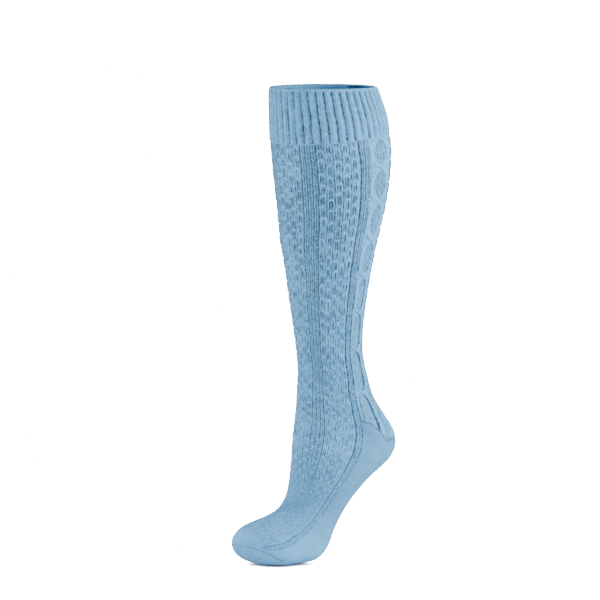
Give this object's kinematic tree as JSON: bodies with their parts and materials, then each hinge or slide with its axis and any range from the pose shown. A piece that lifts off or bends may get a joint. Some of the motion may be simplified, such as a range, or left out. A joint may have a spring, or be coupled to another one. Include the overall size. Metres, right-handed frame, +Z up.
{
  "type": "cable-knit knee sock",
  "caption": "Knee-high sock in soft cable knit, worn form with ribbed cuff, cable and moss panels down the leg, plain heel, sole and toe",
  "frame": {"origin": "the centre of the cuff mouth, where the leg goes in and holds the sock up", "axes": "+Z up the leg, the toes along -Y, the outer side of a left foot along +X"},
  "size_m": [0.1162, 0.1889, 0.4619],
  "materials": {
    "cuff_knit": "matte rib knit",
    "leg_knit": "matte cable and moss knit",
    "instep_knit": "matte moss knit",
    "heel_knit": "matte plain knit",
    "sole_knit": "matte plain knit",
    "toe_knit": "matte plain knit"
  },
  "bodies": {
    "root": {"cuff": "cuff_knit", "leg": "leg_knit", "instep": "instep_knit", "heel": "heel_knit", "sole": "sole_knit", "toe": "toe_knit"}
  },
  "joints": []
}
